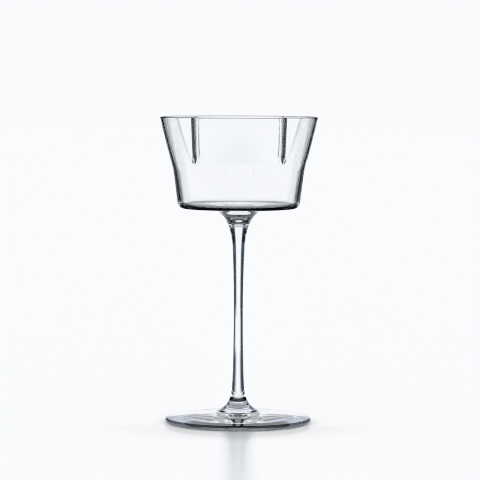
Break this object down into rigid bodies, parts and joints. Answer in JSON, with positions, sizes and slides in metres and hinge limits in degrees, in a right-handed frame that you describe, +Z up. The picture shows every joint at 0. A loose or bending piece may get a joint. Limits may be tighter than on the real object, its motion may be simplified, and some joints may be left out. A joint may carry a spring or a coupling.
{
  "type": "cocktail coupe",
  "caption": "Clear stemmed cocktail coupe: a flaring bowl drawn in by upright pleats, on a slim drawn stem and a round domed foot.",
  "frame": {"origin": "centre of the foot's rest ring, on the surface that the glass stands on", "axes": "+Z up along the stem; +X and +Y point at the middles of two lobes of the rim; each pleat lies 41.5 degrees from the Y axis"},
  "size_m": [0.0848, 0.0848, 0.165],
  "materials": {
    "bowl_glass": "clear, fire-polished",
    "stem_glass": "clear, drawn",
    "foot_glass": "clear, spun and fire-polished"
  },
  "bodies": {
    "root": {"bowl": "bowl_glass", "stem": "stem_glass", "foot": "foot_glass"}
  },
  "joints": []
}
